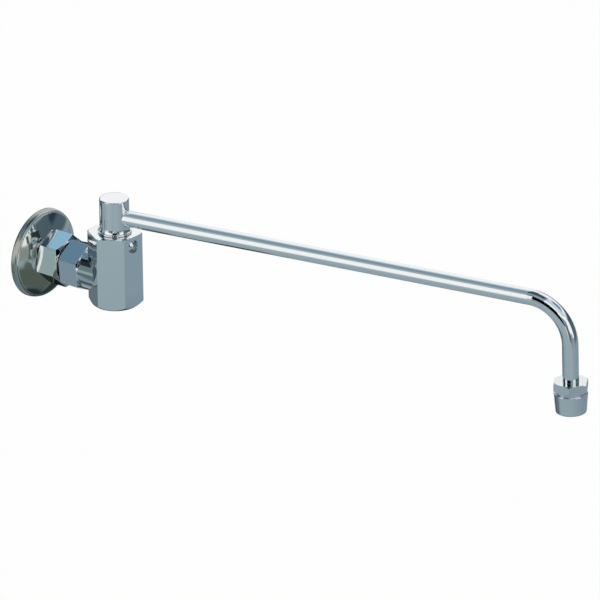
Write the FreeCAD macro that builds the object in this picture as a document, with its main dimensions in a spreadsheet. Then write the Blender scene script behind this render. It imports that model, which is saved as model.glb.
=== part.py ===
"""Wall-mounted swing-spout faucet in chromed brass, with its valve inside the hexagonal body.

Frame, in millimetres: the origin lies on the inlet axis in the plane of the wall. +Y goes into the
wall, +Z is up, and the faucet stands out of the wall towards -Y. The spout turns about the vertical
axis of the body, and at rest it stands a little to the +X side of straight out.
"""
import FreeCAD, Part
import math
import os
import re
import Sketcher

Vector = FreeCAD.Vector
doc = FreeCAD.newDocument("SwingSpoutFaucet")
sheet = doc.addObject("Spreadsheet::Sheet", "Sizes")
pieces = []

SIZES = {
    # General fits
    "running_gap": 0.05,  # radial gap of a turning fit
    "joint_gap": 0.02,  # radial gap of a brazed or screwed joint
    "slip_gap": 0.2,  # radial gap of a loose piece
    # Where the body stands and how far the spout is swung in the rest position
    "wall_standoff": 76,  # wall to the turning axis
    "swing_at_rest": 12,  # degrees from straight out, towards +X
    # Wall flange
    "flange_diameter": 70.4,  # across the rim at the wall
    "flange_rim_diameter": 68.6,  # across the front edge of the rim
    "flange_rim_height": 4.3,  # wall to the start of the rounded edge
    "flange_side_radius": 9,  # curve of the rim's side
    "flange_edge_radius": 0.7,  # rounded edge between side and front
    "flange_land_width": 1.1,  # flat ring between rim and dome
    "flange_step_height": 0.4,  # step from the ring to the dome
    "flange_height": 11.55,  # wall to the seat of the nut
    "flange_seat_diameter": 35,  # flat seat under the nut
    "flange_dome_radius": 61,  # curve of the dome
    "flange_wall": 1.0,  # sheet thickness
    # Inlet shank, with pipe thread into the wall and straight thread into the nut
    "pipe_thread_diameter": 21.34,  # half inch pipe thread, outside
    "pipe_thread_length": 19,  # length behind the wall plane
    "union_thread_diameter": 26.4,  # three quarter inch straight thread
    "shank_projection": 22.5,  # wall to the sealing face
    "shank_bore": 11.2,  # water way
    "shank_key_flats": 12.7,  # hexagon socket for the fitting key
    "shank_key_depth": 9,  # depth of the hexagon socket
    "thread_lead_in": 1.2,  # chamfer at the start of a thread
    # Coupling nut
    "nut_flats": 36.7,  # across flats
    "nut_length": 19.4,  # flange seat to front face
    "nut_bearing_diameter": 33,  # raised face that bears on the flange
    "nut_bearing_height": 1.1,  # height of the raised face
    "nut_back_diameter": 40.6,  # turned face at the back of the hexagon
    "nut_face_diameter": 34.4,  # turned face in front
    "nut_chamfer_angle": 30,  # degrees, slope of the turned corners
    "nut_turn": 17.7,  # degrees, where the nut came to rest
    # Union tailpiece and its washer
    "union_washer_thickness": 2.0,  # flat sealing washer
    "tail_collar_thickness": 2.8,  # collar that the nut pulls on
    "tail_diameter": 21.2,  # outside of the tube
    "tail_bore": 14,  # water way
    "tail_socket_depth": 5,  # length brazed into the adapter
    # Inlet adapter, the second hexagon
    "adapter_flats": 34.5,  # across flats
    "adapter_hex_length": 17.2,  # length of the hexagon
    "adapter_face_diameter": 37.8,  # turned back face
    "adapter_chamfer_angle": 45,  # degrees, slope of the turned corners
    "adapter_turn": 35,  # degrees, where the adapter came to rest
    "adapter_thread_diameter": 20.9,  # half inch straight thread
    "adapter_thread_length": 9.3,  # length inside the boss
    "adapter_bore": 11,  # water way behind the spring
    "spring_pocket_diameter": 14.5,  # bore round the spring
    "spring_pocket_depth": 18,  # from the end of the thread
    # Valve body
    "body_flats": 37.3,  # across flats
    "body_height": 59.5,  # top face to bottom face
    "body_top": 37,  # top face above the inlet axis
    "body_top_diameter": 41,  # turned face at the top
    "body_foot_diameter": 34.6,  # turned face at the foot
    "body_top_chamfer_angle": 30,  # degrees, slope of the corners at the top
    "body_foot_chamfer_angle": 37,  # degrees, slope of the corners at the foot
    "boss_diameter": 33.6,  # round boss for the inlet
    "boss_reach": 25.3,  # turning axis to the boss face
    "bore_lead_in": 0.8,  # chamfer at the top of the bore
    "thread_relief": 0.5,  # free length past the adapter's thread
    # Rubber rings
    "ring_thickness": 2.4,  # section of a stem ring
    "ring_groove_width": 3.0,  # groove in the stem
    "ring_spacing": 5.5,  # upper ring to middle ring
    "ring_land_above": 7.1,  # seat edge to the middle groove
    "ring_land_below": 1.1,  # seat edge to the lower groove
    "ring_end_land": 1.9,  # lower groove to the end of the stem
    "face_ring_thickness": 1.8,  # section of the ring in the boss
    # Valve seat, its washer and spring
    "seat_diameter": 15.8,  # rubber cup
    "seat_back": 15,  # turning axis to the back of the cup
    "seat_hole": 8,  # water way through the seat and port
    "seat_pilot_diameter": 10,  # nose that centres the spring
    "seat_pilot_length": 3.5,  # length of the nose
    "spring_washer_thickness": 0.6,  # flat brass washer
    "spring_wire": 1.2,  # wire diameter
    "spring_mean_diameter": 11.8,  # middle of the wire
    "spring_turns": 6,  # whole turns
    # Swing stem
    "journal_diameter": 20,  # part that turns in the body
    "stem_end_gap": 0.6,  # stem end to the floor of the bore
    "stem_end_chamfer": 0.5,  # chamfer at the foot of the stem
    "thrust_washer_thickness": 0.6,  # washer on the body's top
    "stem_diameter": 23.1,  # part above the body
    "stem_rise": 28.2,  # body top to stem top
    "stem_edge_radius": 0.9,  # rounded top edge
    "stem_ring_diameter": 26.4,  # ring that covers the thrust washer
    "stem_ring_bottom": 0.3,  # body top to the ring
    "stem_ring_thickness": 1.3,  # rim of the ring
    "stem_flare_diameter": 24.8,  # foot of the flare on the ring
    "stem_flare_top": 5.3,  # body top to the end of the flare
    "stem_flare_radius": 8.5,  # hollow curve of the flare
    "stem_passage": 9.6,  # bore up the middle
    "passage_roof": 9,  # solid above the passage
    "stop_groove_depth": 2.1,  # groove for the stop screw
    "stop_screw_depth": 8,  # body top to the screw axis
    "stop_tip_diameter": 4,  # plain tip of the screw
    "swing_each_way": 90,  # degrees from straight out
    # Stop screw
    "screw_thread_diameter": 6,  # thread in the body wall
    "screw_head_diameter": 10.2,  # domed head
    "screw_head_edge": 0.6,  # straight edge of the head
    "screw_head_dome": 1.6,  # rise of the dome
    "screw_recess_length": 5.6,  # cross recess, tip to tip
    "screw_recess_width": 1.15,  # width of each arm
    "screw_recess_depth": 1.5,  # depth below the top of the dome
    "screw_recess_turn": 28,  # degrees, where the screw came to rest
    # Spout tube
    "tube_diameter": 12.7,  # outside of the tube
    "tube_bore": 10.3,  # inside of the tube
    "tube_rise": 12.8,  # body top to the middle of the tube
    "spout_reach": 395.4,  # turning axis to the outlet axis
    "tube_bend_radius": 34,  # middle line of the bend
    "tube_start": 7,  # turning axis to the brazed end
    "tube_socket_depth": 6.5,  # length brazed into the collar
    # Outlet
    "collar_drop": 63.3,  # middle of the tube to the collar top
    "collar_flats": 25.4,  # across flats
    "collar_height": 7.9,  # height of the hexagon
    "collar_face_diameter": 26,  # turned face at the top
    "collar_foot_height": 1.35,  # round foot that the shell screws up to
    "collar_foot_diameter": 23.8,  # round foot
    "collar_turn": 21.8,  # degrees, where the hexagon was soldered
    "collar_chamfer_angle": 35,  # degrees, slope of the turned corners
    "outlet_thread_diameter": 20.6,  # thread under the collar
    "outlet_thread_length": 8.75,  # length of the thread
    "outlet_thread_lead_in": 0.6,  # chamfer at its start
    "shell_height": 16.15,  # tapered cup
    "shell_top_diameter": 26.4,  # wide end
    "shell_bottom_diameter": 24.1,  # narrow end
    "shell_edge_radius": 0.9,  # rounded edges
    "shell_lip": 1.0,  # thickness of the lip at the mouth
    "shell_mouth": 17.2,  # open diameter of the mouth
    "insert_diameter": 18.7,  # screens, disc and gasket
    "screen_thickness": 0.6,  # perforated screen
    "spacer_height": 1.6,  # ring between the screens
    "spacer_bore": 16,  # open diameter of the spacer
    "flow_disc_thickness": 2.0,  # perforated disc
    "screen_pitch": 2.1,  # between rings of screen holes
    "screen_hole": 1.3,  # screen hole diameter
    "flow_pitch": 2.9,  # between rings of disc holes
    "flow_hole": 1.7,  # disc hole diameter
}

for row, (name, value) in enumerate(SIZES.items(), start=1):
    sheet.set(f"A{row}", name.replace("_", " "))
    sheet.set(f"B{row}", str(value))
    sheet.setAlias(f"B{row}", name)
doc.recompute()

# Places that several pieces share. Distances from the wall are measured along -Y.
BOSS_FACE = "(wall_standoff - boss_reach)"
ADAPTER_BACK = f"({BOSS_FACE} - adapter_hex_length)"
ADAPTER_END = f"({BOSS_FACE} + adapter_thread_length)"
SPRING_FLOOR = f"({ADAPTER_END} - spring_pocket_depth)"
NUT_FRONT = "(flange_height + nut_length)"
WASHER_FRONT = "(shank_projection + union_washer_thickness)"
TAIL_SHOULDER = f"({WASHER_FRONT} + tail_collar_thickness)"
SEAT_BACK = "(wall_standoff - seat_back)"
SPRING_END = f"({SEAT_BACK} - spring_washer_thickness)"
# Heights above the inlet axis
SHOULDER = "(body_top + thrust_washer_thickness)"
MIDDLE_RING = "(seat_diameter / 2 + ring_land_above + ring_groove_width / 2)"
UPPER_RING = f"({MIDDLE_RING} + ring_spacing)"
LOWER_RING = "(-seat_diameter / 2 - ring_land_below - ring_groove_width / 2)"
STEM_END = f"({LOWER_RING} - ring_groove_width / 2 - ring_end_land)"
BORE_FLOOR = f"({STEM_END} - stem_end_gap)"
STOP_AXIS = "(body_top - stop_screw_depth)"
TUBE_AXIS = "(body_top + tube_rise)"
# Radii
STEM_BORE = "(journal_diameter / 2 + running_gap)"
RING_FLOOR = "(journal_diameter / 2 - ring_thickness - joint_gap)"
STOP_FLOOR = "(journal_diameter / 2 - stop_groove_depth)"
# Heights in the outlet, measured from the collar's top face
COLLAR_FOOT = "(-collar_height - collar_foot_height)"
SHELL_TOP = f"({COLLAR_FOOT} - joint_gap)"
MOUTH = f"({SHELL_TOP} - shell_height)"
LOWER_SCREEN = f"({MOUTH} + shell_lip)"
SPACER = f"({LOWER_SCREEN} + screen_thickness)"
UPPER_SCREEN = f"({SPACER} + spacer_height)"
FLOW_DISC = f"({UPPER_SCREEN} + screen_thickness)"
GASKET = f"({FLOW_DISC} + flow_disc_thickness)"
THREAD_END = f"({COLLAR_FOOT} - outlet_thread_length)"


def number(expression):
    """Present value of an expression of sizes."""
    return float(sheet.evalExpression(expression))


def bind(target, name, expression):
    """Tie a property or constraint to the sizes in an expression."""
    def from_sheet(word):
        text = word.group()
        return "Sizes." + text if text in SIZES else text
    target.setExpression(name, re.sub(r"[a-z]\w+", from_sheet, expression))


def new_piece(label):
    """An empty body whose label is the name of the piece."""
    piece = doc.addObject("PartDesign::Body", label)
    piece.Label = label
    pieces.append(piece)
    return piece


def place(piece, axis, angle, y, x="0", z="0"):
    """Put a piece at x, y, z, turned by an angle about an axis."""
    piece.Placement = FreeCAD.Placement(Vector(0, 0, 0), FreeCAD.Rotation(axis, number(angle)))
    if angle != "90":
        bind(piece, "Placement.Rotation.Angle", angle)
    bind(piece, "Placement.Base.x", x)
    bind(piece, "Placement.Base.y", y)
    bind(piece, "Placement.Base.z", z)


def face_the_wall(piece):
    """Local +Z runs out of the wall along the inlet axis, and local +Y is up."""
    place(piece, Vector(1, 0, 0), "90", "0")


def stand_on_body_axis(piece):
    """Local +Z is the turning axis, with the inlet axis at its foot."""
    place(piece, Vector(0, 0, 1), "0", "-wall_standoff")


def turn_with_spout(piece):
    """As on the body's axis, but local -Y runs along the spout."""
    place(piece, Vector(0, 0, 1), "swing_at_rest", "-wall_standoff")


def hang_at_outlet(piece):
    """Local +Z is the outlet axis, with the collar's top face at its foot."""
    across = "spout_reach * sin(swing_at_rest)"
    along = "-wall_standoff - spout_reach * cos(swing_at_rest)"
    place(piece, Vector(0, 0, 1), "swing_at_rest", along, across, f"{TUBE_AXIS} - collar_drop")


def sketch_on(piece, role, offset="0"):
    """A sketch on one of the piece's own planes, moved along the plane's normal."""
    sketch = piece.newObject("Sketcher::SketchObject", piece.Name + "_sketch")
    plane = [feature for feature in piece.Origin.OriginFeatures if feature.Role == role][0]
    sketch.AttachmentSupport = (plane, [""])
    sketch.MapMode = "FlatFace"
    bind(sketch, "AttachmentOffset.Base.z", offset)
    return sketch


def hold(sketch, kind, geometry, expression):
    """Add a dimension and tie it to the sizes."""
    index = sketch.addConstraint(Sketcher.Constraint(kind, *geometry, number(expression)))
    bind(sketch, f"Constraints[{index}]", expression)


def arc_between(start, end, turn, radius):
    """The arc of under a half circle that turns left or right from start to end."""
    chord = end - start
    height = math.sqrt(radius ** 2 - (chord.Length / 2) ** 2)
    left = Vector(-chord.y, chord.x, 0).normalize()
    side = 1 if turn == "left" else -1
    centre = (start + end) / 2 + left * height * side
    first, last = (start, end) if turn == "left" else (end, start)
    from_angle = math.atan2(first.y - centre.y, first.x - centre.x)
    to_angle = math.atan2(last.y - centre.y, last.x - centre.x)
    circle = Part.Circle(centre, Vector(0, 0, 1), radius)
    return Part.ArcOfCircle(circle, from_angle, to_angle)


def outline(sketch, steps):
    """Draw a closed outline and hold each corner by its distances from the origin.

    A step is (across, up). Where the edge that leaves it is an arc, it is (across, up, turn, radius).
    """
    corners = [Vector(number(step[0]), number(step[1]), 0) for step in steps]
    ends = []
    for index, step in enumerate(steps):
        start = corners[index]
        end = corners[(index + 1) % len(steps)]
        if len(step) == 2:
            edge = sketch.addGeometry(Part.LineSegment(start, end), False)
            ends.append((edge, 1, 2))
            continue
        turn, radius = step[2], step[3]
        edge = sketch.addGeometry(arc_between(start, end, turn, number(radius)), False)
        ends.append((edge, 1, 2) if turn == "left" else (edge, 2, 1))
        hold(sketch, "Radius", (edge,), radius)
    for index, step in enumerate(steps):
        edge, start, _ = ends[index]
        before, _, end = ends[index - 1]
        sketch.addConstraint(Sketcher.Constraint("Coincident", before, end, edge, start))
        hold(sketch, "DistanceX", (-1, 1, edge, start), step[0])
        hold(sketch, "DistanceY", (-1, 1, edge, start), step[1])


def circle(sketch, across, up, radius):
    """Draw a circle held by its centre and radius."""
    shape = Part.Circle(Vector(number(across), number(up), 0), Vector(0, 0, 1), number(radius))
    edge = sketch.addGeometry(shape, False)
    hold(sketch, "DistanceX", (-1, 1, edge, 3), across)
    hold(sketch, "DistanceY", (-1, 1, edge, 3), up)
    hold(sketch, "Radius", (edge,), radius)


def hexagon(flats, turn="0"):
    """The corners of a hexagon, the first at the given angle."""
    corner = f"({flats}) / sqrt(3)"
    angles = [f"({turn} + {60 * index})" for index in range(6)]
    return [(f"{corner} * cos({angle})", f"{corner} * sin({angle})") for angle in angles]


def add(piece, kind, sketch, **settings):
    """Add a feature made from a sketch. Text settings are expressions of the sizes."""
    before = piece.Shape.Volume if piece.Tip else 0
    feature = piece.newObject("PartDesign::" + kind, f"{piece.Name}_{kind.lower()}")
    feature.Profile = sketch
    for name, value in settings.items():
        if isinstance(value, str):
            bind(feature, name, value)
        else:
            setattr(feature, name, value)
    sketch.Visibility = False
    doc.recompute()
    removes = kind in ("Pocket", "Groove")
    if before and (piece.Shape.Volume < before) != removes:
        raise RuntimeError(f"{feature.Name} changed the volume the wrong way")
    return feature


def turned(piece, steps, kind="Revolution", role="XZ_Plane", axis="V_Axis", **settings):
    """Turn an outline about an axis, to add material or with kind Groove to remove it."""
    sketch = sketch_on(piece, role)
    outline(sketch, steps)
    return add(piece, kind, sketch, ReferenceAxis=(sketch, [axis]), **settings)


def turn_corners(piece, end, flats, face_diameter, angle, into):
    """Cone off the corners of a hexagon at one end. The solid lies into + or - from there."""
    face = f"({face_diameter}) / 2"
    beyond = f"({flats}) / sqrt(3) + 1"
    depth = f"{end} {into} ({beyond} - {face}) * tan({angle})"
    turned(piece, [(face, end), (beyond, end), (beyond, depth)], "Groove")


def bored(piece, steps):
    """Bore a stepped hole along the piece's own axis. A step is (radius, from height)."""
    path = [("0", steps[0][1])]
    for index, (radius, height) in enumerate(steps[:-1]):
        path.append((radius, height))
        path.append((radius, steps[index + 1][1]))
    path.append(("0", steps[-1][1]))
    turned(piece, path, "Groove")


def ring_piece(label, centre_radius, thickness, put, height):
    """A round rubber ring about the local Z axis."""
    torus = doc.addObject("Part::Torus", label)
    torus.Label = label
    bind(torus, "Radius1", centre_radius)
    bind(torus, "Radius2", f"{thickness} / 2")
    put(torus)
    if put is turn_with_spout:
        bind(torus, "Placement.Base.z", height)
    else:
        bind(torus, "Placement.Base.y", f"-({height})")
    pieces.append(torus)


def make_wall_flange():
    """Spun sheet: a rounded rim, a flat ring, a small step, and a dome with a seat for the nut."""
    piece = new_piece("wall_flange")
    face_the_wall(piece)
    rim = "flange_rim_diameter / 2"
    front = "flange_rim_height + flange_edge_radius"
    dome = f"{rim} - flange_edge_radius - flange_land_width"
    foot = f"{front} + flange_step_height"
    seat = "flange_seat_diameter / 2"
    hole = "union_thread_diameter / 2 + slip_gap"
    turned(piece, [
        ("flange_diameter / 2", "0", "left", "flange_side_radius"),
        (rim, "flange_rim_height", "left", "flange_edge_radius"),
        (f"{rim} - flange_edge_radius", front),
        (dome, front),
        (dome, foot, "left", "flange_dome_radius"),
        (seat, "flange_height"),
        (hole, "flange_height"),
        (hole, "flange_height - flange_wall"),
        (seat, "flange_height - flange_wall", "right", "flange_dome_radius - flange_wall"),
        (dome, f"{foot} - flange_wall"),
        (dome, f"{front} - flange_wall"),
        (f"{rim} - flange_wall", f"{front} - flange_wall", "right",
         "flange_side_radius - flange_wall"),
        ("flange_diameter / 2 - flange_wall", "0"),
    ])


def make_inlet_shank():
    """Threaded nipple: pipe thread behind the wall, straight thread in front, hexagon socket."""
    piece = new_piece("inlet_shank")
    face_the_wall(piece)
    pipe = "pipe_thread_diameter / 2"
    union = "union_thread_diameter / 2"
    back = "-pipe_thread_length"
    turned(piece, [
        ("shank_bore / 2", back),
        (f"{pipe} - thread_lead_in", back),
        (pipe, f"{back} + thread_lead_in"),
        (pipe, "0"),
        (union, "0"),
        (union, "shank_projection - thread_lead_in"),
        (f"{union} - thread_lead_in", "shank_projection"),
        ("shank_bore / 2", "shank_projection"),
    ])
    socket = sketch_on(piece, "XY_Plane", "shank_projection")
    outline(socket, hexagon("shank_key_flats"))
    add(piece, "Pocket", socket, Length="shank_key_depth")


def make_coupling_nut():
    """Union nut: a raised bearing face and thread at the back, and a lip in front for the collar."""
    piece = new_piece("coupling_nut")
    face_the_wall(piece)
    blank = sketch_on(piece, "XY_Plane", "flange_height")
    outline(blank, hexagon("nut_flats", "nut_turn"))
    add(piece, "Pad", blank, Length="nut_length")
    bearing = "nut_bearing_diameter / 2"
    back = "(flange_height + nut_bearing_height)"
    beyond = "nut_flats / sqrt(3) + 1"
    turned(piece, [
        (bearing, "flange_height"),
        (beyond, "flange_height"),
        (beyond, back),
        (bearing, back),
    ], "Groove")
    turn_corners(piece, back, "nut_flats", "nut_back_diameter", "nut_chamfer_angle", "+")
    turn_corners(piece, NUT_FRONT, "nut_flats", "nut_face_diameter", "nut_chamfer_angle", "-")
    bored(piece, [
        ("union_thread_diameter / 2 + joint_gap", "flange_height"),
        ("tail_diameter / 2 + slip_gap", TAIL_SHOULDER),
        ("0", NUT_FRONT),
    ])


def make_union_washer():
    """Flat washer squeezed between the shank and the tail's collar."""
    piece = new_piece("union_washer")
    face_the_wall(piece)
    outer = "union_thread_diameter / 2 - slip_gap * 2"
    inner = "shank_key_flats / sqrt(3) + slip_gap"
    turned(piece, [
        (inner, "shank_projection"),
        (outer, "shank_projection"),
        (outer, WASHER_FRONT),
        (inner, WASHER_FRONT),
    ])


def make_union_tailpiece():
    """Collared tube, brazed into the back of the adapter."""
    piece = new_piece("union_tailpiece")
    face_the_wall(piece)
    collar = "union_thread_diameter / 2 - slip_gap"
    end = f"{ADAPTER_BACK} + tail_socket_depth"
    turned(piece, [
        ("tail_bore / 2", WASHER_FRONT),
        (collar, WASHER_FRONT),
        (collar, TAIL_SHOULDER),
        ("tail_diameter / 2", TAIL_SHOULDER),
        ("tail_diameter / 2", end),
        ("tail_bore / 2", end),
    ])


def make_inlet_adapter():
    """Second hexagon: takes the tail, holds the spring and screws into the boss."""
    piece = new_piece("inlet_adapter")
    face_the_wall(piece)
    blank = sketch_on(piece, "XY_Plane", ADAPTER_BACK)
    outline(blank, hexagon("adapter_flats", "adapter_turn"))
    add(piece, "Pad", blank, Length="adapter_hex_length")
    turn_corners(piece, ADAPTER_BACK, "adapter_flats", "adapter_face_diameter", "adapter_chamfer_angle", "+")
    thread = "adapter_thread_diameter / 2"
    turned(piece, [
        ("0", BOSS_FACE),
        (thread, BOSS_FACE),
        (thread, f"{ADAPTER_END} - thread_lead_in"),
        (f"{thread} - thread_lead_in", ADAPTER_END),
        ("0", ADAPTER_END),
    ])
    bored(piece, [
        ("tail_diameter / 2 + joint_gap", ADAPTER_BACK),
        ("adapter_bore / 2", f"{ADAPTER_BACK} + tail_socket_depth"),
        ("spring_pocket_diameter / 2", SPRING_FLOOR),
        ("0", ADAPTER_END),
    ])


def biarc(start, start_way, end, end_way):
    """Two arcs that leave start and reach end in the given directions and meet smoothly."""
    chord = end - start
    ways = start_way + end_way
    sweep = 2 * (1 - start_way.dot(end_way))
    reach = (-chord.dot(ways) + math.sqrt(chord.dot(ways) ** 2 + sweep * chord.dot(chord))) / sweep
    join = (start + start_way * reach + end - end_way * reach) / 2
    edges = []
    for first, way, last in ((start, start_way, join), (end, end_way * -1, join)):
        edges.append(tangent_arc(first, way, last))
    return [edges[0], edges[1]]


def tangent_arc(start, way, end):
    """The arc that leaves start in a direction and ends at end."""
    chord = end - start
    across = chord - way * chord.dot(way)
    across.normalize()
    radius = chord.dot(chord) / (2 * chord.dot(across))
    centre = start + across * radius
    half = (start + end) / 2 - centre
    middle = centre + half.normalize() * radius
    return Part.Arc(start, middle, end).toShape()


def make_seat_spring():
    """Coil spring between the adapter's pocket and the brass washer, one unbroken wire."""
    radius = number("spring_mean_diameter / 2")
    wire = number("spring_wire")
    turns = int(number("spring_turns"))
    free = number(f"{SPRING_END} - {SPRING_FLOOR}") - wire
    steps = turns * 4
    rise = free / (2 * math.pi * turns)

    def point(quarter):
        angle = quarter * math.pi / 2
        return Vector(radius * math.cos(angle), radius * math.sin(angle), rise * angle)

    def heading(quarter):
        angle = quarter * math.pi / 2
        return Vector(-radius * math.sin(angle), radius * math.cos(angle), rise).normalize()

    edges = []
    for quarter in range(steps):
        edges += biarc(point(quarter), heading(quarter), point(quarter + 1), heading(quarter + 1))
    path = Part.Wire(Part.__sortEdges__(edges))
    section = Part.Wire(Part.Circle(point(0), heading(0), wire / 2).toShape())
    coil = path.makePipeShell([section], True, False)
    expected = path.Length * math.pi * (wire / 2) ** 2
    print(f"seat_spring volume {coil.Volume:.1f}, section times length {expected:.1f}")
    print(f"seat_spring gap between turns {free / turns - wire:.2f}")
    piece = doc.addObject("Part::Feature", "seat_spring")
    piece.Label = "seat_spring"
    piece.Shape = coil
    foot = number(f"{SPRING_FLOOR}") + wire / 2
    turn = FreeCAD.Rotation(Vector(1, 0, 0), 90)
    piece.Placement = FreeCAD.Placement(Vector(0, -foot, 0), turn)
    pieces.append(piece)


def make_spring_washer():
    """Brass washer between the spring and the rubber."""
    piece = new_piece("spring_washer")
    face_the_wall(piece)
    inner = "seat_pilot_diameter / 2 + slip_gap"
    outer = "seat_diameter / 2 - slip_gap"
    turned(piece, [
        (inner, SPRING_END),
        (outer, SPRING_END),
        (outer, SEAT_BACK),
        (inner, SEAT_BACK),
    ])


def make_valve_seat():
    """Rubber cup with a water way; its face is hollowed to the stem's curve."""
    piece = new_piece("valve_seat")
    face_the_wall(piece)
    pilot = "seat_pilot_diameter / 2"
    turned(piece, [
        ("seat_hole / 2", f"{SEAT_BACK} - seat_pilot_length"),
        (pilot, f"{SEAT_BACK} - seat_pilot_length"),
        (pilot, SEAT_BACK),
        ("seat_diameter / 2", SEAT_BACK),
        ("seat_diameter / 2", "wall_standoff - journal_diameter / 4"),
        ("seat_hole / 2", "wall_standoff - journal_diameter / 4"),
    ])
    curve = sketch_on(piece, "XZ_Plane")
    circle(curve, "0", "wall_standoff", STEM_BORE)
    add(piece, "Pocket", curve, Midplane=True, Length="seat_diameter * 2")


def make_valve_body():
    """Hexagonal body: stem bore from the top, boss and stepped bore to the wall side."""
    piece = new_piece("valve_body")
    stand_on_body_axis(piece)
    blank = sketch_on(piece, "XY_Plane", "body_top - body_height")
    outline(blank, hexagon("body_flats"))
    add(piece, "Pad", blank, Length="body_height")
    turn_corners(piece, "body_top", "body_flats", "body_top_diameter", "body_top_chamfer_angle", "-")
    bottom = "(body_top - body_height)"
    turn_corners(piece, bottom, "body_flats", "body_foot_diameter", "body_foot_chamfer_angle", "+")
    boss = sketch_on(piece, "XZ_Plane")
    circle(boss, "0", "0", "boss_diameter / 2")
    add(piece, "Pad", boss, Reversed=True, Length="boss_reach")
    turned(piece, [
        ("0", BORE_FLOOR),
        (STEM_BORE, BORE_FLOOR),
        (STEM_BORE, "body_top - bore_lead_in"),
        (f"{STEM_BORE} + bore_lead_in", "body_top"),
        ("0", "body_top"),
    ], "Groove")
    seat = "seat_diameter / 2 + joint_gap * 3"
    thread = "adapter_thread_diameter / 2 + joint_gap"
    mouth = f"{thread} + face_ring_thickness + slip_gap"
    thread_floor = "boss_reach - adapter_thread_length - thread_relief"
    mouth_floor = "boss_reach - face_ring_thickness"
    turned(piece, [
        ("0", "0"),
        ("0", seat),
        (thread_floor, seat),
        (thread_floor, thread),
        (mouth_floor, thread),
        (mouth_floor, mouth),
        ("boss_reach", mouth),
        ("boss_reach", "0"),
    ], "Groove", "YZ_Plane", "H_Axis")
    screw = sketch_on(piece, "XZ_Plane")
    circle(screw, "0", STOP_AXIS, "screw_thread_diameter / 2 + joint_gap")
    add(piece, "Pocket", screw, Reversed=True, Length="body_flats")


def make_stop_screw():
    """Domed screw in the front facet, with a plain tip in the stem's groove."""
    piece = new_piece("stop_screw")
    place(piece, Vector(1, 0, 0), "90", "-wall_standoff - body_flats / 2", "0", STOP_AXIS)
    tip = "stop_tip_diameter / 2"
    thread = "screw_thread_diameter / 2"
    head = "screw_head_diameter / 2"
    point = f"{STOP_FLOOR} + running_gap * 6 - body_flats / 2"
    shoulder = f"{STEM_BORE} + slip_gap - body_flats / 2"
    dome_radius = f"(({head}) ^ 2 + screw_head_dome ^ 2) / (2 * screw_head_dome)"
    turned(piece, [
        ("0", point),
        (tip, point),
        (tip, shoulder),
        (thread, shoulder),
        (thread, "0"),
        (head, "0"),
        (head, "screw_head_edge", "left", dome_radius),
        ("0", "screw_head_edge + screw_head_dome"),
    ])
    recess = sketch_on(piece, "XY_Plane", "screw_head_edge + screw_head_dome")
    outline(recess, cross("screw_recess_length / 2", "screw_recess_width / 2"))
    add(piece, "Pocket", recess, Length="screw_recess_depth")


def cross(arm, half_width):
    """The outline of a four-armed cross, turned to where the screw came to rest."""
    steps = []
    for quarter in range(4):
        angle = f"(screw_recess_turn + {90 * quarter})"
        for along, aside in ((half_width, f"-({half_width})"), (arm, f"-({half_width})"),
                             (arm, half_width)):
            across = f"({along}) * cos({angle}) - ({aside}) * sin({angle})"
            up = f"({along}) * sin({angle}) + ({aside}) * cos({angle})"
            steps.append((across, up))
    return steps


def make_thrust_washer():
    """Plastic washer that carries the stem's shoulder."""
    piece = new_piece("thrust_washer")
    stand_on_body_axis(piece)
    inner = f"{STEM_BORE} + running_gap"
    outer = "stem_diameter / 2 - slip_gap"
    turned(piece, [
        (inner, "body_top"),
        (outer, "body_top"),
        (outer, SHOULDER),
        (inner, SHOULDER),
    ])


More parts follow.
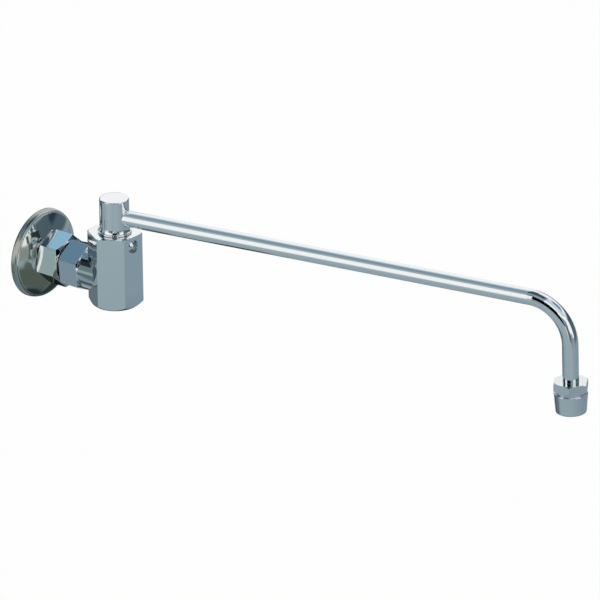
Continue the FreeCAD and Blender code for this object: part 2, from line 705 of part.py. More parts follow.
def make_swing_stem():
    """Turned stem: journal with ring grooves, stop groove, port, passage and tube socket."""
    piece = new_piece("swing_stem")
    turn_with_spout(piece)
    journal = "journal_diameter / 2"
    head = "stem_diameter / 2"
    rim = "stem_ring_diameter / 2"
    half_groove = "ring_groove_width / 2"
    ledge = "body_top + stem_ring_bottom + stem_ring_thickness"
    roof = "body_top + stem_rise - passage_roof"
    path = [
        ("stem_passage / 2", STEM_END),
        (f"{journal} - stem_end_chamfer", STEM_END),
        (journal, f"{STEM_END} + stem_end_chamfer"),
    ]
    for height in (LOWER_RING, MIDDLE_RING, UPPER_RING):
        path += [
            (journal, f"{height} - {half_groove}"),
            (RING_FLOOR, f"{height} - {half_groove}"),
            (RING_FLOOR, f"{height} + {half_groove}"),
            (journal, f"{height} + {half_groove}"),
        ]
    path += [
        (journal, SHOULDER),
        (head, SHOULDER),
        (head, "body_top + stem_ring_bottom"),
        (rim, "body_top + stem_ring_bottom"),
        (rim, ledge),
        ("stem_flare_diameter / 2", ledge, "right", "stem_flare_radius"),
        (head, "body_top + stem_flare_top"),
        (head, "body_top + stem_rise - stem_edge_radius", "left", "stem_edge_radius"),
        (f"{head} - stem_edge_radius", "body_top + stem_rise"),
        ("0", "body_top + stem_rise"),
        ("0", roof),
        ("stem_passage / 2", roof),
    ]
    turned(piece, path)
    stop = "stop_tip_diameter / 2 + slip_gap"
    tip_angle = f"asin(stop_tip_diameter / 2 / {STOP_FLOOR}) / 1 deg"
    turned(piece, [
        (f"-{STOP_FLOOR}", f"{STOP_AXIS} - ({stop})"),
        (f"-({journal} + 1)", f"{STOP_AXIS} - ({stop})"),
        (f"-({journal} + 1)", f"{STOP_AXIS} + {stop}"),
        (f"-{STOP_FLOOR}", f"{STOP_AXIS} + {stop}"),
    ], "Groove", "YZ_Plane", Midplane=True, Angle=f"2 * swing_each_way + 2 * {tip_angle}")
    port = sketch_on(piece, "XZ_Plane")
    circle(port, "0", "0", "seat_hole / 2")
    add(piece, "Pocket", port, Length="journal_diameter")
    socket = sketch_on(piece, "XZ_Plane", "tube_start")
    circle(socket, "0", TUBE_AXIS, "tube_diameter / 2 + joint_gap")
    add(piece, "Pocket", socket, Reversed=True, Length="stem_diameter")
    passage = sketch_on(piece, "XZ_Plane")
    circle(passage, "0", TUBE_AXIS, "tube_bore / 2")
    add(piece, "Pocket", passage, Reversed=True, Length="stem_diameter")


def make_stem_rings():
    """Three rubber rings that turn with the stem."""
    centre = "journal_diameter / 2 - ring_thickness / 2"
    heights = {"upper": UPPER_RING, "middle": MIDDLE_RING, "lower": LOWER_RING}
    for name, height in heights.items():
        ring_piece(f"{name}_stem_oring", centre, "ring_thickness", turn_with_spout, height)


def make_adapter_oring():
    """Ring in the mouth of the boss that seals the adapter."""
    centre = "adapter_thread_diameter / 2 + face_ring_thickness / 2 + slip_gap / 2"
    height = f"{BOSS_FACE} + face_ring_thickness / 2"
    ring_piece("adapter_oring", centre, "face_ring_thickness", face_the_wall, height)


def make_spout_tube():
    """Bent tube, from the socket in the stem to the socket in the outlet collar."""
    piece = new_piece("spout_tube")
    turn_with_spout(piece)
    section = sketch_on(piece, "XZ_Plane", "tube_start")
    circle(section, "0", TUBE_AXIS, "tube_diameter / 2")
    circle(section, "0", TUBE_AXIS, "tube_bore / 2")
    start = "-tube_start"
    bend = "-(spout_reach - tube_bend_radius)"
    foot = f"{TUBE_AXIS} - collar_drop - tube_socket_depth"
    route = sketch_on(piece, "YZ_Plane")
    corners = [(start, TUBE_AXIS), (bend, TUBE_AXIS),
               ("-spout_reach", f"{TUBE_AXIS} - tube_bend_radius"), ("-spout_reach", foot)]
    points = [Vector(number(across), number(up), 0) for across, up in corners]
    route.addGeometry(Part.LineSegment(points[0], points[1]), False)
    bend_arc = arc_between(points[1], points[2], "left", number("tube_bend_radius"))
    route.addGeometry(bend_arc, False)
    route.addGeometry(Part.LineSegment(points[2], points[3]), False)
    route.addConstraint(Sketcher.Constraint("Coincident", 0, 2, 1, 1))
    route.addConstraint(Sketcher.Constraint("Coincident", 1, 2, 2, 1))
    hold(route, "Radius", (1,), "tube_bend_radius")
    for (across, up), (edge, end) in zip(corners, ((0, 1), (0, 2), (2, 1), (2, 2))):
        hold(route, "DistanceX", (-1, 1, edge, end), across)
        hold(route, "DistanceY", (-1, 1, edge, end), up)
    doc.recompute()
    pipe = piece.newObject("PartDesign::AdditivePipe", "spout_tube_pipe")
    pipe.Profile = section
    pipe.Spine = (route, ["Edge1", "Edge2", "Edge3"])
    doc.recompute()
    length = sum(edge.Length for edge in route.Shape.Edges)
    area = number("pi / 4 * (tube_diameter ^ 2 - tube_bore ^ 2)")
    print(f"spout_tube volume {piece.Shape.Volume:.1f}, section times length {area * length:.1f}")


def make_outlet_collar():
    """Hexagonal end fitting: socket for the tube above, round foot and male thread below."""
    piece = new_piece("outlet_collar")
    hang_at_outlet(piece)
    blank = sketch_on(piece, "XY_Plane", "-collar_height")
    outline(blank, hexagon("collar_flats", "collar_turn"))
    add(piece, "Pad", blank, Length="collar_height")
    angle = "collar_chamfer_angle"
    turn_corners(piece, "0", "collar_flats", "collar_face_diameter", angle, "-")
    turn_corners(piece, "-collar_height", "collar_flats", "collar_foot_diameter", angle, "+")
    foot = "collar_foot_diameter / 2"
    thread = "outlet_thread_diameter / 2"
    turned(piece, [
        ("0", THREAD_END),
        (f"{thread} - outlet_thread_lead_in", THREAD_END),
        (thread, f"{THREAD_END} + outlet_thread_lead_in"),
        (thread, COLLAR_FOOT),
        (foot, COLLAR_FOOT),
        (foot, "-collar_height"),
        ("0", "-collar_height"),
    ])
    bored(piece, [
        ("tube_bore / 2", THREAD_END),
        ("tube_diameter / 2 + joint_gap", "-tube_socket_depth"),
        ("0", "0"),
    ])


def make_outlet_shell():
    """Tapered cup that screws on the collar and holds the screens on its lip."""
    piece = new_piece("outlet_shell")
    hang_at_outlet(piece)
    top = "shell_top_diameter / 2"
    bottom = "shell_bottom_diameter / 2"
    thread = "outlet_thread_diameter / 2 + joint_gap"
    insert = "insert_diameter / 2 + joint_gap * 3"
    ledge = f"{THREAD_END} - joint_gap * 4"
    turned(piece, [
        (thread, SHELL_TOP),
        (f"{top} - shell_edge_radius", SHELL_TOP, "right", "shell_edge_radius"),
        (top, f"{SHELL_TOP} - shell_edge_radius"),
        (bottom, f"{MOUTH} + shell_edge_radius", "right", "shell_edge_radius"),
        (f"{bottom} - shell_edge_radius", MOUTH),
        ("shell_mouth / 2", MOUTH),
        ("shell_mouth / 2", LOWER_SCREEN),
        (insert, LOWER_SCREEN),
        (insert, ledge),
        (thread, ledge),
    ])


def make_perforated(label, foot, thickness, pitch, hole, rings):
    """Round disc with a middle hole and rings of six, twelve, eighteen holes round it."""
    piece = new_piece(label)
    hang_at_outlet(piece)
    disc = sketch_on(piece, "XY_Plane", foot)
    circle(disc, "0", "0", "insert_diameter / 2")
    circle(disc, "0", "0", f"{hole} / 2")
    add(piece, "Pad", disc, Length=thickness)
    for ring in range(1, rings + 1):
        spot = sketch_on(piece, "XY_Plane", foot)
        circle(spot, f"{pitch} * {ring}", "0", f"{hole} / 2")
        drilled = add(piece, "Pocket", spot, Reversed=True, Length=thickness)
        pattern = piece.newObject("PartDesign::PolarPattern", f"{label}_ring")
        pattern.Originals = [drilled]
        pattern.Axis = (spot, ["N_Axis"])
        pattern.Angle = 360
        pattern.Occurrences = 6 * ring
        piece.Tip = pattern
        doc.recompute()


def make_outlet_rings():
    """The spacer between the screens and the gasket on top of the stack."""
    heights = {
        "screen_spacer": (SPACER, UPPER_SCREEN),
        "outlet_gasket": (GASKET, THREAD_END),
    }
    for label, (foot, top) in heights.items():
        piece = new_piece(label)
        hang_at_outlet(piece)
        turned(piece, [
            ("spacer_bore / 2", foot),
            ("insert_diameter / 2", foot),
            ("insert_diameter / 2", top),
            ("spacer_bore / 2", top),
        ])


make_wall_flange()
make_inlet_shank()
make_coupling_nut()
make_union_washer()
make_union_tailpiece()
make_inlet_adapter()
make_adapter_oring()
make_seat_spring()
make_spring_washer()
make_valve_seat()
make_valve_body()
make_stop_screw()
make_thrust_washer()
make_swing_stem()
make_stem_rings()
make_spout_tube()
make_outlet_collar()
make_outlet_shell()
make_perforated("lower_screen", LOWER_SCREEN, "screen_thickness", "screen_pitch", "screen_hole", 3)
make_perforated("upper_screen", UPPER_SCREEN, "screen_thickness", "screen_pitch", "screen_hole", 3)
make_perforated("flow_disc", FLOW_DISC, "flow_disc_thickness", "flow_pitch", "flow_hole", 2)
make_outlet_rings()
doc.recompute()

for item in doc.Objects:
    if "Invalid" in item.State or "Error" in item.State:
        raise RuntimeError(f"{item.Name} failed: {item.State}")

os.makedirs("parts", exist_ok=True)
for piece in pieces:
    shape = piece.Shape
    if shape.isNull() or not shape.isValid():
        raise RuntimeError(f"{piece.Label} has no valid shape")
    if len(shape.Solids) != 1:
        raise RuntimeError(f"{piece.Label} is not one solid")
    shape.exportStep(f"parts/{piece.Label}.step")
    print(f"{piece.Label}: {shape.Volume:.1f} cubic millimetres")
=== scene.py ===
"""Looks of a wall-mounted swing-spout faucet in chromed brass, with its valve in a hexagonal body."""
import math
import bpy
from mathutils import Matrix, Vector


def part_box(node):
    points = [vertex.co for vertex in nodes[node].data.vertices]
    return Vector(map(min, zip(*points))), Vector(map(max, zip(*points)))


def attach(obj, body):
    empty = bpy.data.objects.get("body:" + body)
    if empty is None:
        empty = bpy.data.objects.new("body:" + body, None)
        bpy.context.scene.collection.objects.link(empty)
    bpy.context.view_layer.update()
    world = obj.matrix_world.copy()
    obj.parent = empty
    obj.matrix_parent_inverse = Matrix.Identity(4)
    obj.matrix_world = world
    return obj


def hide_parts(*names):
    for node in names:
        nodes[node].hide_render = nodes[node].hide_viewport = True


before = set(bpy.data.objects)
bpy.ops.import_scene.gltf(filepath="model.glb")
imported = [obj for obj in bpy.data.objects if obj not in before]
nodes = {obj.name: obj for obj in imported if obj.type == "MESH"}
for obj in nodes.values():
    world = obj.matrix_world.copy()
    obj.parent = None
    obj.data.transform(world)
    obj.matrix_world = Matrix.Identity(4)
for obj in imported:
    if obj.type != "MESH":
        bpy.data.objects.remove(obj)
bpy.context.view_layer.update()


# Inlet shank. A brass nipple, turned from bar and left unplated, because nothing of it shows once it is
# fitted. It has a taper pipe thread for the wall, a straight thread for the nut and a hexagon socket for
# the fitter's key.
def linear(code):
    """Linear colour of an sRGB hex value."""
    channels = [int(code[place:place + 2], 16) / 255 for place in (1, 3, 5)]
    return [c / 12.92 if c <= 0.04045 else ((c + 0.055) / 1.055) ** 2.4 for c in channels] + [1.0]


def add_node(tree, kind, settings=None, **sockets):
    """Adds a shader node. Settings are its options; each socket gets a value or a link."""
    node = tree.nodes.new(kind)
    for name, value in (settings or {}).items():
        setattr(node, name, value)
    for name, value in sockets.items():
        socket = node.inputs[name.replace("_", " ")]
        if isinstance(value, bpy.types.NodeSocket):
            tree.links.new(value, socket)
        else:
            socket.default_value = value
    return node


def empty_material(name):
    """A new material with nothing in its node tree, and that tree."""
    material = bpy.data.materials.new(name)
    material.use_nodes = True
    material.node_tree.nodes.clear()
    return material, material.node_tree


def turned_brass():
    """Free-cutting brass as it leaves the lathe: warm yellow, with the fine rings of the tool.

    Real feed marks are about 0.1 mm apart, too fine to show, so the rings are drawn coarser. A wave
    texture of scale 1 has 20 bands in each tau metres.
    """
    material, tree = empty_material("turned brass")
    ring_spacing = 0.000754
    place = add_node(tree, "ShaderNodeTexCoord")
    rings = add_node(tree, "ShaderNodeTexWave", {"bands_direction": "Y"},
                     Vector=place.outputs["Object"], Scale=math.tau / (20 * ring_spacing),
                     Distortion=0.6)
    marks = add_node(tree, "ShaderNodeBump", Strength=0.12, Distance=0.00002,
                     Height=rings.outputs["Fac"])
    shader = add_node(tree, "ShaderNodeBsdfPrincipled", Metallic=1.0, Roughness=0.28,
                      Normal=marks.outputs["Normal"])
    shader.inputs["Base Color"].default_value = linear("#d9b36a")
    add_node(tree, "ShaderNodeOutputMaterial", Surface=shader.outputs["BSDF"])
    return material


brass = turned_brass()

# With a flat on crest and root, a 60 degree thread is a little over half its pitch deep. The flat is a
# share of half the pitch, and the pipe thread's taper is 1 in 16 on its diameter.
shank_low, shank_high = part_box("inlet_shank")
threads_in_an_inch = 14
thread_pitch = 0.0254 / threads_in_an_inch
thread_depth = 0.576 * thread_pitch
thread_flat = 0.1
pipe_radius = 0.01067
pipe_taper = 1 / 32
union_radius = (shank_high.x - shank_low.x) / 2
bore_radius = 0.0056
key_flats = 0.0127
key_depth = 0.009
lead_in = 0.0012
pitches_to_full_pipe_thread = 1.5
pitches_to_full_union_thread = 1.0
sides = 72
rows_in_a_pitch = 8
sharp_edge = math.radians(25)


def thread_radius(crest, along, angle, fade):
    """Radius of a 60 degree thread with small flats, at a distance along it and an angle round it."""
    turn = (along / thread_pitch - angle / math.tau) % 1
    slope = (2 * abs(turn - 0.5) - thread_flat) / (1 - 2 * thread_flat)
    groove = min(max(slope, 0), 1)
    return crest - thread_depth * groove * fade


def shank_rows():
    """Rings of points from the bore's mouth behind the wall, over the outside, to the key socket."""
    back = shank_high.y
    front = shank_low.y
    step = thread_pitch / rows_in_a_pitch

    def thread_row(y, crest, fade):
        return y, lambda angle: thread_radius(crest, y, angle, fade)

    def socket(angle):
        facet = math.pi / 3
        return key_flats / 2 / math.cos((angle + facet / 2) % facet - facet / 2)

    rows = [(back, lambda angle: bore_radius)]
    count = int(back / step)
    for index in range(count + 1):
        y = back - index * back / count
        chamfer = pipe_radius - back * pipe_taper - lead_in + (back - y)
        crest = min(pipe_radius - y * pipe_taper, chamfer)
        rows.append(thread_row(y, crest, min(y / thread_pitch / pitches_to_full_pipe_thread, 1)))
    count = int(-front / step)
    for index in range(count + 1):
        y = front * index / count
        chamfer = union_radius - lead_in + (y - front)
        crest = min(union_radius, chamfer)
        rows.append(thread_row(y, crest, min(-y / thread_pitch / pitches_to_full_union_thread, 1)))
    rows.append((front, socket))
    rows.append((front + key_depth, socket))
    rows.append((front + key_depth, lambda angle: bore_radius))
    return rows


def turned_mesh(name, rows):
    """A closed skin over rings of points about the Y axis: a place along Y and a radius by angle."""
    points = []
    for y, radius in rows:
        for side in range(sides):
            angle = side * math.tau / sides
            points.append((radius(angle) * math.cos(angle), y, radius(angle) * math.sin(angle)))
    faces = []
    for row in range(len(rows)):
        here = row * sides
        there = (row + 1) % len(rows) * sides
        for side in range(sides):
            beside = (side + 1) % sides
            faces.append((here + side, here + beside, there + beside, there + side))
    mesh = bpy.data.meshes.new(name)
    mesh.from_pydata(points, [], faces)
    mesh.polygons.foreach_set("use_smooth", [True] * len(faces))
    mesh.set_sharp_from_angle(angle=sharp_edge)
    piece = bpy.data.objects.new(name, mesh)
    bpy.context.scene.collection.objects.link(piece)
    return piece


shank = turned_mesh("threaded_shank", shank_rows())
shank.data.materials.append(brass)
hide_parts("inlet_shank")
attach(shank, "root")


# Wall flange. Spun from thin brass sheet over a former, then polished and chromed. It slides over the
# shank and is pinched between the wall and the nut, so it carries nothing but its own edge.
def chrome_plate(name, tint, roughness, edge, wave, wave_height):
    """Bright nickel and chrome over brass that was polished on a wheel.

    The plate gives a hard mirror with a faint blue tint. The wheel leaves the edges a little round, to
    the radius edge, and the faces uneven by wave_height from one wave to the next, so straight
    reflections waver. All three are in metres.
    """
    material, tree = empty_material(name)
    place = add_node(tree, "ShaderNodeTexCoord")
    rounded = add_node(tree, "ShaderNodeBevel", {"samples": 6}, Radius=edge)
    uneven = add_node(tree, "ShaderNodeTexNoise", Vector=place.outputs["Object"],
                      Scale=1 / wave, Detail=1.0)
    surface = add_node(tree, "ShaderNodeBump", Strength=1.0, Distance=wave_height,
                       Height=uneven.outputs["Fac"], Normal=rounded.outputs["Normal"])
    shader = add_node(tree, "ShaderNodeBsdfPrincipled", Metallic=1.0, Roughness=roughness,
                      Normal=surface.outputs["Normal"])
    shader.inputs["Base Color"].default_value = linear(tint)
    add_node(tree, "ShaderNodeOutputMaterial", Surface=shader.outputs["BSDF"])
    return material


def dress(material, *names):
    """Puts a material in the slots of CAD pieces."""
    for name in names:
        nodes[name].data.materials.clear()
        nodes[name].data.materials.append(material)


spun_chrome = chrome_plate("chrome on spun brass", "#e2e6e3", roughness=0.09,
                           edge=0.0003, wave=0.012, wave_height=0.000004)
dress(spun_chrome, "wall_flange")


def dull_rim_with_painted_shade(material, start, end, tint, roughness):
    """Dulls the plate and darkens its tone outside a radius from the inlet axis. The rougher plate is
    where the polishing wheel doesn't reach; the darker tone is painted shade on the flange's rim.
    """
    tree = material.node_tree
    shader = tree.nodes["Principled BSDF"]
    place = add_node(tree, "ShaderNodeTexCoord")
    flat = add_node(tree, "ShaderNodeMapping", {"vector_type": "POINT"},
                    Vector=place.outputs["Object"], Scale=(1, 0, 1))
    radius = add_node(tree, "ShaderNodeVectorMath", {"operation": "LENGTH"},
                      Vector=flat.outputs["Vector"])
    outside = add_node(tree, "ShaderNodeMapRange", Value=radius.outputs["Value"],
                       From_Min=start, From_Max=end)
    tone = add_node(tree, "ShaderNodeValToRGB", Fac=outside.outputs["Result"])
    tone.color_ramp.elements[0].color = shader.inputs["Base Color"].default_value[:]
    tone.color_ramp.elements[1].color = linear(tint)
    tree.links.new(tone.outputs["Color"], shader.inputs["Base Color"])
    dulled = add_node(tree, "ShaderNodeMapRange", Value=outside.outputs["Result"],
                      To_Min=shader.inputs["Roughness"].default_value, To_Max=roughness)
    tree.links.new(dulled.outputs["Result"], shader.inputs["Roughness"])


flange_low, flange_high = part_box("wall_flange")
flange_radius = (flange_high.x - flange_low.x) / 2
# The flange's rim gets painted shade: a darker tone outwards from just inside the rolled edge, and a
# rougher plate.
rolled_edge = 0.0014
rim_shade_fades_over = 0.0006
dull_rim_with_painted_shade(spun_chrome, flange_radius - rolled_edge, flange_radius - rolled_edge + rim_shade_fades_over,
         "#a9ada6", roughness=0.22)


# Coupling nut, union tailpiece and union washer. The nut is hexagon bar, turned and chromed; it pulls
# the tailpiece's collar against a rubber washer on the end of the shank. Between the hexagons the
# tailpiece's plate is dull, and its grey tone is painted shade for the narrow gap there.
hexagon_chrome = chrome_plate("chrome on polished bar", "#eef1f2", roughness=0.035,
                              edge=0.0004, wave=0.015, wave_height=0.000004)
# The tailpiece's grey tone is painted shade for the gap between the hexagons; its rough plate is duller.
tailpiece_chrome_with_painted_shade = chrome_plate("chrome on the tailpiece with painted shade", "#9ba2a5", roughness=0.3,
                             edge=0.0003, wave=0.01, wave_height=0.000004)
dress(hexagon_chrome, "coupling_nut")
dress(tailpiece_chrome_with_painted_shade, "union_tailpiece")


def nitrile_rubber():
    """Moulded nitrile: black and matt, with the soft sheen of a moulded skin."""
    material, tree = empty_material("moulded nitrile rubber")
    shader = add_node(tree, "ShaderNodeBsdfPrincipled", Roughness=0.55, IOR=1.52)
    shader.inputs["Base Color"].default_value = linear("#191a1b")
    add_node(tree, "ShaderNodeOutputMaterial", Surface=shader.outputs["BSDF"])
    return material


rubber = nitrile_rubber()
dress(rubber, "union_washer")


# Inlet adapter and its ring. The second hexagon, brazed to the tailpiece and screwed into the body's
# boss against a rubber ring. It shares the nut's plate.
dress(hexagon_chrome, "inlet_adapter")
dress(rubber, "adapter_oring")


# Valve seat, spring washer and seat spring. A rubber cup pressed on the turning stem by a stainless
# spring, with a brass washer between them. They are closed up inside the adapter and the body.
def stainless_steel():
    """Drawn or punched stainless steel: grey, clean and slightly brushed."""
    material, tree = empty_material("stainless steel")
    shader = add_node(tree, "ShaderNodeBsdfPrincipled", Metallic=1.0, Roughness=0.24)
    shader.inputs["Base Color"].default_value = linear("#c9c9c6")
    add_node(tree, "ShaderNodeOutputMaterial", Surface=shader.outputs["BSDF"])
    return material


stainless = stainless_steel()
dress(stainless, "seat_spring")
dress(brass, "spring_washer")
dress(rubber, "valve_seat")


# Valve body. Hexagon bar, bored for the stem from above and for the adapter through its round boss,
# then polished and chromed like the two hexagons before it.
dress(hexagon_chrome, "valve_body")


# Stop screw. A small domed screw with a cross recess in the front facet, plated with the body. Its
# plain tip rides in the stem's groove, which holds the stem down and stops the swing.
screw_chrome = chrome_plate("chrome on a small screw", "#e6eaec", roughness=0.06,
                            edge=0.0001, wave=0.004, wave_height=0.000002)
dress(screw_chrome, "stop_screw")


# Thrust washer. Moulded acetal, white. It lies loose between the stem's shoulder and the top of the
# body, under the flared ring, and lets the stem turn without wear.
def acetal():
    """Moulded acetal: off-white, with the low gloss of a bearing plastic."""
    material, tree = empty_material("moulded acetal")
    shader = add_node(tree, "ShaderNodeBsdfPrincipled", Roughness=0.42, IOR=1.48)
    shader.inputs["Base Color"].default_value = linear("#e8e6de")
    add_node(tree, "ShaderNodeOutputMaterial", Surface=shader.outputs["BSDF"])
    return material


plastic = acetal()
dress(plastic, "thrust_washer")


# Swing stem and its rings. Turned from round bar, polished and chromed above the body; three rubber
# rings seal it in the bore. The flared ring hides the joint with the body.
turned_chrome = chrome_plate("chrome on turned bar", "#eef1f2", roughness=0.04,
                             edge=0.0008, wave=0.02, wave_height=0.000003)
dress(turned_chrome, "swing_stem")
dress(rubber, "upper_stem_oring", "middle_stem_oring", "lower_stem_oring")


# Spout tube. Half inch brass tube, bent cold over a former, polished along its length and chromed, then
# brazed into the stem and the collar.
tube_chrome = chrome_plate("chrome on drawn tube", "#eef1f2", roughness=0.045,
                           edge=0.0003, wave=0.03, wave_height=0.000004)
dress(tube_chrome, "spout_tube")


# Outlet collar and shell. A small hexagon on the end of the tube and a tapered cup screwed on it. They
# are chromed as they come from the lathe, so they are less bright than the polished pieces.
outlet_chrome = chrome_plate("chrome on fine-turned brass", "#e4e8ea", roughness=0.11,
                             edge=0.0003, wave=0.006, wave_height=0.000003)
dress(outlet_chrome, "outlet_collar", "outlet_shell")


# Gasket, flow disc, screens and spacer. They lie loose in the cup, the screens in stainless steel, and
# only the lowest screen shows in the mouth.
dress(rubber, "outlet_gasket")
dress(plastic, "flow_disc")
dress(stainless, "upper_screen", "screen_spacer", "lower_screen")


# Studio. A white sweep lit evenly from all round, which is also the background. Polished metal shows
# what stands round it, so cards hang above, lie below and stand round the faucet, out of the picture.
# They light nothing: each glows with its own tone, painted light standing in for lit and shaded cloth.
white = (1.0, 1.0, 1.0, 1.0)
level = ((1, 0, 0), (0, 1, 0))
world = bpy.data.worlds.new("even white light")
bpy.context.scene.world = world
world.use_nodes = True
world.node_tree.nodes["Background"].inputs["Color"].default_value = white
world.node_tree.nodes["Background"].inputs["Strength"].default_value = 1.0

floor_height = -1.1
floor_size = 14.0


def flat_card(name, centre, directions, size):
    """A rectangle about a centre. Its width and height each have a direction."""
    across = Vector(directions[0]).normalized() * size[0] / 2
    along = Vector(directions[1]).normalized() * size[1] / 2
    corners = [-across - along, across - along, across + along, -across + along]
    mesh = bpy.data.meshes.new(name)
    mesh.from_pydata([tuple(corner) for corner in corners], [], [(0, 1, 2, 3)])
    card = bpy.data.objects.new(name, mesh)
    card.location = centre
    bpy.context.scene.collection.objects.link(card)
    return card


def paper():
    """Seamless white paper: matt, and nearly as white as paper can be."""
    material, tree = empty_material("seamless white paper")
    shader = add_node(tree, "ShaderNodeBsdfDiffuse")
    shader.inputs["Color"].default_value = linear("#fdfefd")
    add_node(tree, "ShaderNodeOutputMaterial", Surface=shader.outputs["BSDF"])
    return material


floor = flat_card("floor", (0, 0, floor_height), level, (floor_size, floor_size))
floor.data.materials.append(paper())


def graded_glowing_cloth(name, stops):
    """Cloth that glows with a tone changing along the card's own X axis, painted light standing in for
    lit cloth. Stops are (metres, tone) in order.
    """
    material, tree = empty_material(name)
    first, last = stops[0][0], stops[-1][0]
    place = add_node(tree, "ShaderNodeTexCoord")
    parts = add_node(tree, "ShaderNodeSeparateXYZ", Vector=place.outputs["Object"])
    where = add_node(tree, "ShaderNodeMapRange", Value=parts.outputs["X"],
                     From_Min=first, From_Max=last)
    tone = add_node(tree, "ShaderNodeValToRGB", Fac=where.outputs["Result"])
    ramp = tone.color_ramp
    while len(ramp.elements) < len(stops):
        ramp.elements.new(0.5)
    for element, (metres, code) in zip(ramp.elements, stops):
        element.position = (metres - first) / (last - first)
        element.color = linear(code)
    glow = add_node(tree, "ShaderNodeEmission", Color=tone.outputs["Color"])
    add_node(tree, "ShaderNodeOutputMaterial", Surface=glow.outputs["Emission"])
    return material


def only_in_reflections(card):
    """Keeps a card out of the picture and out of the light, so that only polished metal shows it."""
    card.visible_camera = False
    card.visible_diffuse = False
    card.visible_transmission = False
    card.visible_volume_scatter = False
    card.visible_shadow = False


roof = flat_card("roof card", (-0.55, 2.8, 2.0), level, (5.0, 7.4))
roof.data.materials.append(graded_glowing_cloth("cloth of the roof card", [
    (-2.4, "#ffffff"),
    (-1.45, "#a8b7bc"),
    (-0.8, "#98acb5"),
    (-0.25, "#8497a4"),
    (0.2, "#8094a2"),
    (0.7, "#97abb7"),
    (1.2, "#d4e3ea"),
    (1.7, "#ffffff"),
]))
only_in_reflections(roof)

# The table card is painted shade: its grey stands for the shaded floor and table below the faucet, as
# the metal shows them.
table = flat_card("table card", (0, 0, -1.0), level, (24.0, 24.0))
table.data.materials.append(graded_glowing_cloth("cloth of the table card", [
    (-9.0, "#ffffff"),
    (-4.0, "#d0dcdf"),
    (-2.9, "#afbec3"),
    (-2.2, "#99aab1"),
    (-1.4, "#9eaeb6"),
    (0.0, "#95a4ad"),
    (1.5, "#879aa6"),
    (4.0, "#95a8b3"),
    (9.0, "#ffffff"),
]))
only_in_reflections(table)


def glowing_felt(tone):
    """Felt that glows with one tone, painted light standing in for lit felt. It thins out towards the
    card's edges, so that they reflect softly.
    """
    material, tree = empty_material("felt " + tone[1:])
    cover = add_node(tree, "ShaderNodeAttribute", {"attribute_name": "cover"})
    cloth = add_node(tree, "ShaderNodeEmission")
    cloth.inputs["Color"].default_value = linear(tone)
    clear = add_node(tree, "ShaderNodeBsdfTransparent")
    edge = add_node(tree, "ShaderNodeMixShader", Fac=cover.outputs["Fac"])
    tree.links.new(clear.outputs["BSDF"], edge.inputs[1])
    tree.links.new(cloth.outputs["Emission"], edge.inputs[2])
    add_node(tree, "ShaderNodeOutputMaterial", Surface=edge.outputs["Shader"])
    return material


def card_angles(limits, fade, parts):
    """Angles of a card's rows or columns: even parts, with a soft edge of its own width at each end."""
    first, last = limits[0] + fade, limits[1] - fade
    even = [first + (last - first) * part / parts for part in range(parts + 1)]
    return [math.radians(angle) for angle in [limits[0], *even, limits[1]]]


def bent_card(name, distance, azimuths, elevations, fade, tone):
    """A card bent round the faucet, between two azimuths from +X and two elevations, in degrees."""
    columns = card_angles(azimuths, fade, parts=8)
    rows = card_angles(elevations, fade, parts=4)
    points = []
    cover = []
    for row, elevation in enumerate(rows):
        across = math.cos(elevation) * distance
        for column, azimuth in enumerate(columns):
            points.append((across * math.cos(azimuth), across * math.sin(azimuth),
                           math.sin(elevation) * distance))
            inside = 0 < row < len(rows) - 1 and 0 < column < len(columns) - 1
            cover.append(1.0 if inside else 0.0)
    faces = []
    for row in range(len(rows) - 1):
        for column in range(len(columns) - 1):
            here = row * len(columns) + column
            above = here + len(columns)
            faces.append((here, here + 1, above + 1, above))
    mesh = bpy.data.meshes.new(name)
    mesh.from_pydata(points, [], faces)
    mesh.attributes.new("cover", "FLOAT", "POINT").data.foreach_set("value", cover)
    mesh.materials.append(glowing_felt(tone))
    card = bpy.data.objects.new(name, mesh)
    bpy.context.scene.collection.objects.link(card)
    only_in_reflections(card)


# What stands round the faucet: each card's distance in metres, its azimuths, elevations and soft edge in
# degrees, and its tone.
bent_card("flag beside the window", 1.6, (99, 139), (4, 48), 3, "#0d1417")
bent_card("foot of the flag", 1.58, (97, 119), (-5, 9), 3, "#0a1013")
bent_card("steel edge of the flag", 1.5, (90, 121), (12, 29), 4, "#4f6673")
bent_card("top of the post", 1.54, (131, 150), (20, 43), 3, "#222f33")
bent_card("grey post beside the flag", 1.56, (134, 149), (-1, 25), 3, "#6c7d83")
bent_card("screen below the flag", 1.7, (114, 149), (-26, 6), 3, "#92a8a7")
bent_card("dark screen beside it", 1.65, (88, 118), (-30, -1), 3, "#45565f")
bent_card("grey screen below it", 1.3, (118, 150), (-42, -25), 3, "#8094a0")
bent_card("dark screen below that", 1.1, (98, 132), (-56, -38), 4, "#4d5c63")
bent_card("blue screen overhead", 1.5, (72, 135), (46, 60), 4, "#648499")
bent_card("blue screen beside it", 0.6, (48, 76), (37, 55), 4, "#8fbdd6")
bent_card("blue screen at the far end", 1.5, (283, 322), (32, 54), 4, "#6b8da3")
bent_card("blue screen above the end", 1.95, (-4, 34), (62, 74), 4, "#5f8598")
bent_card("dark patch in the roof", 1.4, (181, 199), (40, 55), 3, "#4a5c64")
bent_card("tripod", 1.6, (205, 236), (3, 30), 2, "#05080a")
bent_card("lens case", 1.55, (196, 204), (-4, 11), 2, "#0b1114")
bent_card("grey case", 2.9, (174, 199), (-19, 3), 3, "#737f7c")
bent_card("dark case", 2.8, (194, 210), (-19, 5), 3, "#525f5d")
bent_card("steel top", 1.65, (232, 258), (-13, 14), 5, "#5c6b72")
bent_card("steel rail", 1.66, (225, 262), (8, 23), 4, "#80959a")
bent_card("grey screen in front", 1.7, (249, 275), (-18, 4), 4, "#8c9792")
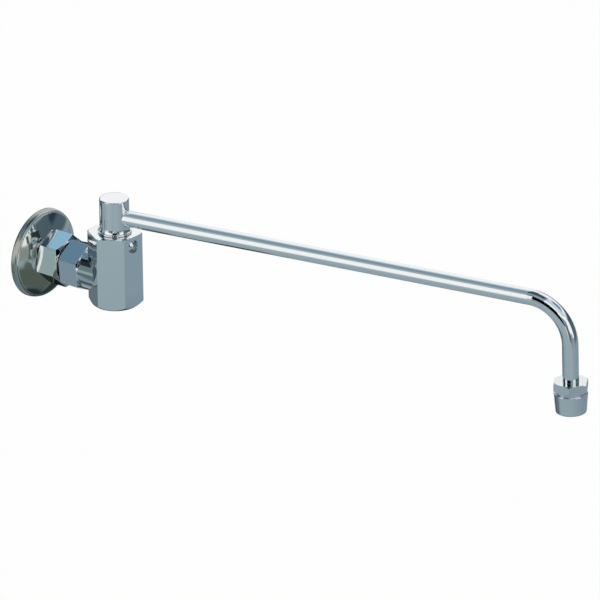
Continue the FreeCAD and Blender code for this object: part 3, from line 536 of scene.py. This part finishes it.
bent_card("olive screen in front", 0.5, (262, 300), (-30, -16), 4, "#5d6a63")
bent_card("dark end of the room", 1.6, (284, 364), (-13, 28), 7, "#51646e")
bent_card("dark end beyond the tube", 1.6, (346, 379), (8, 31), 5, "#56646d")
bent_card("darkest end of the room", 1.55, (316, 350), (5, 19), 5, "#2b3b46")
bent_card("blue grey screen at the end", 1.5, (328, 366), (-26, -9), 5, "#8093a1")
# The three cards close under the faucet are painted shade: dark and olive tones standing for the shadow
# on the floor below it.
bent_card("olive painted shade on the floor in front", 0.5, (242, 345), (-60, -21), 8, "#566159")
bent_card("painted shade on the floor at the end", 0.21, (335, 385), (-70, -30), 8, "#2b3637")
bent_card("painted shade on the floor below", 0.2, (258, 395), (-80, -54), 6, "#222f2f")
bent_card("flag behind", 1.25, (34, 66), (-22, 20), 3, "#131c21")
bent_card("foot of the flag behind", 0.5, (37, 68), (-54, -18), 3, "#0e171c")
bent_card("top of the flag behind", 1.26, (60, 84), (-8, 20), 3, "#2b383e")
bent_card("grey foot beside the flag", 1.24, (60, 84), (-52, -8), 3, "#66757c")
bent_card("dusk above the flag", 1.3, (54, 92), (13, 27), 4, "#5a6c76")
bent_card("grey flag beside it", 1.3, (80, 98), (-48, 22), 3, "#505d66")


def plain_card(name, centre, directions, size, tone):
    """A flat card that glows with one tone, painted light standing in for lit cloth, seen only in
    reflections.
    """
    material, tree = empty_material("plain cloth " + tone[1:])
    cloth = add_node(tree, "ShaderNodeEmission", Color=linear(tone))
    add_node(tree, "ShaderNodeOutputMaterial", Surface=cloth.outputs["Emission"])
    card = flat_card(name, centre, directions, size)
    card.data.materials.append(material)
    only_in_reflections(card)


facing_the_flange = ((0.59, 0.81, 0), (0.33, -0.24, 0.91))
facing_the_stem = ((-0.24, -0.97, 0), (0, 0, 1))
facing_the_boss = ((-0.64, -0.77, 0), (0, 0, 1))

# The card under the flange is painted shade: set close to the flange, it darkens only its lower face's
# reflection.
plain_card("painted shade under the flange", (0.12, -0.088, -0.096), facing_the_flange, (0.12, 0.07),
           "#4c5a60")
plain_card("dark card overhead", (0.0, -0.18, 1.9), level, (1.2, 1.06), "#3c505c")
plain_card("pale card in front of the roof", (0.2, -2.0, 1.95), level, (2.6, 2.2), "#cddde5")
plain_card("camera and stand", (-0.475, -0.618, 0.29), facing_the_stem, (0.54, 0.44), "#04080b")
plain_card("grey cloth below the camera", (-0.475, -0.618, -0.075), facing_the_stem, (0.54, 0.29),
           "#9caeb6")
# The card below the boss is painted shade: it darkens the reflection under the boss and the barrel, like
# a shadow.
plain_card("painted shade below the boss", (-0.153, 0.051, -0.095), facing_the_boss, (0.024, 0.13),
           "#5d7178")


# Camera. A long lens from the front left and above, so that the perspective is almost flat. It aims so
# that the body's top lies at its place in the picture. From 25 m on, the other views come out empty.
view_azimuth = math.radians(-49.48)
view_elevation = math.radians(23.17)
view_roll = math.radians(1.03)
picture_side = 600
millimetres_in_a_pixel = 0.77
camera_distance = 20.0
body_top = Vector((0, -0.076, 0.037))
body_top_pixel = (114.2, 230.9)

towards_camera = Vector((math.sin(view_azimuth) * math.cos(view_elevation),
                         -math.cos(view_azimuth) * math.cos(view_elevation),
                         math.sin(view_elevation)))
level_right = Vector((math.cos(view_azimuth), math.sin(view_azimuth), 0))
level_up = towards_camera.cross(level_right)
picture_right = level_right * math.cos(view_roll) - level_up * math.sin(view_roll)
picture_up = level_up * math.cos(view_roll) + level_right * math.sin(view_roll)
metres_in_a_pixel = millimetres_in_a_pixel / 1000
middle = (picture_side - 1) / 2
aim = body_top
aim = aim + picture_right * (middle - body_top_pixel[0]) * metres_in_a_pixel
aim = aim - picture_up * (middle - body_top_pixel[1]) * metres_in_a_pixel

lens = bpy.data.cameras.new("long lens")
lens.sensor_width = 36
lens.lens = lens.sensor_width * camera_distance / (picture_side * metres_in_a_pixel)
lens.clip_end = 2 * camera_distance
camera = bpy.data.objects.new("camera", lens)
turn = Matrix((picture_right, picture_up, towards_camera)).transposed()
camera.matrix_world = Matrix.Translation(aim + towards_camera * camera_distance) @ turn.to_4x4()
bpy.context.scene.collection.objects.link(camera)
bpy.context.scene.camera = camera
bpy.context.scene.view_settings.view_transform = "Standard"
